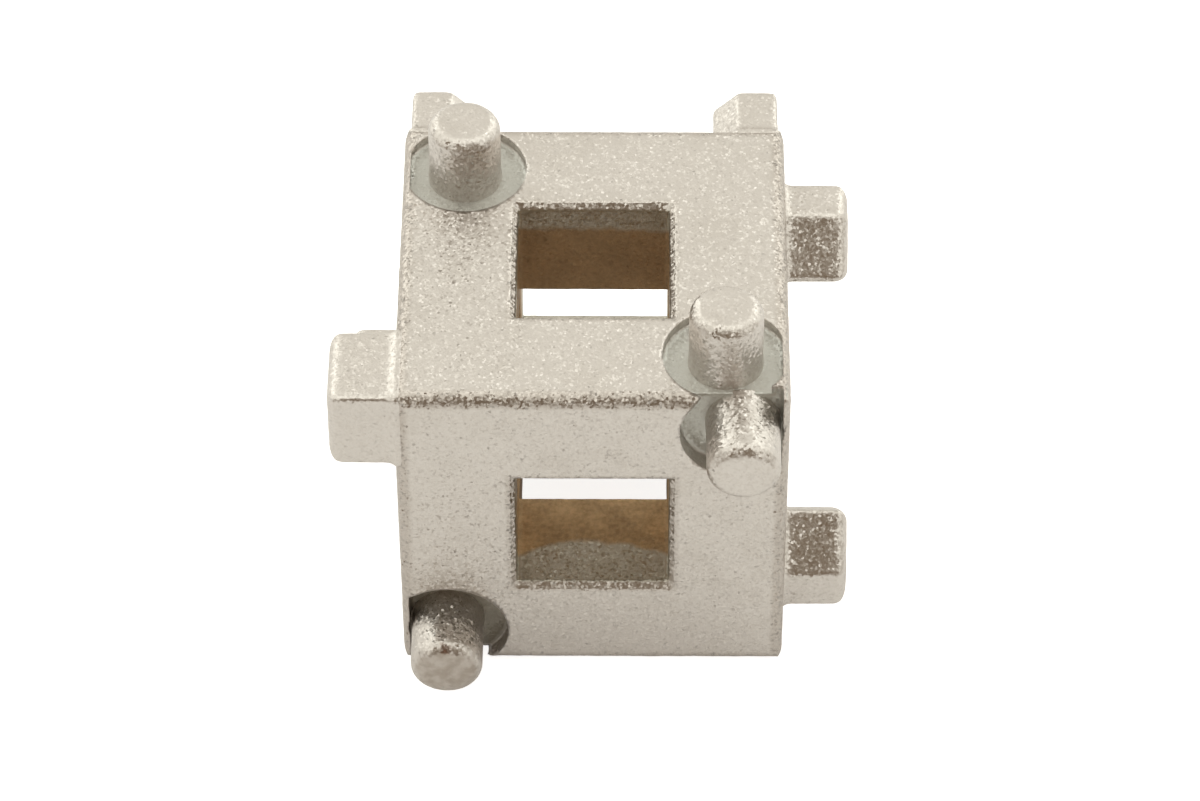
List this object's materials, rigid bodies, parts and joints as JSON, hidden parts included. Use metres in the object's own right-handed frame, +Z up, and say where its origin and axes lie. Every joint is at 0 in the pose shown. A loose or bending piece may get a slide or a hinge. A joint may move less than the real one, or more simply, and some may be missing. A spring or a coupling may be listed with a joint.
{
  "type": "brake caliper piston tool",
  "caption": "Cube-shaped square-drive tool with crossing socket tunnels and raised round studs, square lugs and bar lugs, for turning a brake caliper piston back into its bore.",
  "frame": {"origin": "centre of the plain bottom face, on the upright drive axis, at the surface the tool stands on", "axes": "+Z up through the top face, -Y out of the front face, -X out of the face with square lugs, +X out of the face with bar lugs"},
  "size_m": [0.0334, 0.0328, 0.0292],
  "materials": {
    "block": "as-cast steel with a satin zinc plate, bare brown inside the tunnels",
    "studs": "satin zinc plate",
    "lugs": "satin zinc plate"
  },
  "bodies": {
    "root": {"drive_block": "block", "top_stud_rear_left": "studs", "top_stud_front_right": "studs", "front_stud_upper_right": "studs", "front_stud_lower_left": "studs", "left_lug_front_top": "lugs", "left_lug_rear_bottom": "lugs", "right_lug_rear_top": "lugs", "right_lug_front_bottom": "lugs", "rear_lug_top_left": "lugs", "rear_lug_bottom_left": "lugs", "rear_lug_bottom_right": "lugs", "rear_lug_top_right": "lugs"}
  },
  "joints": []
}
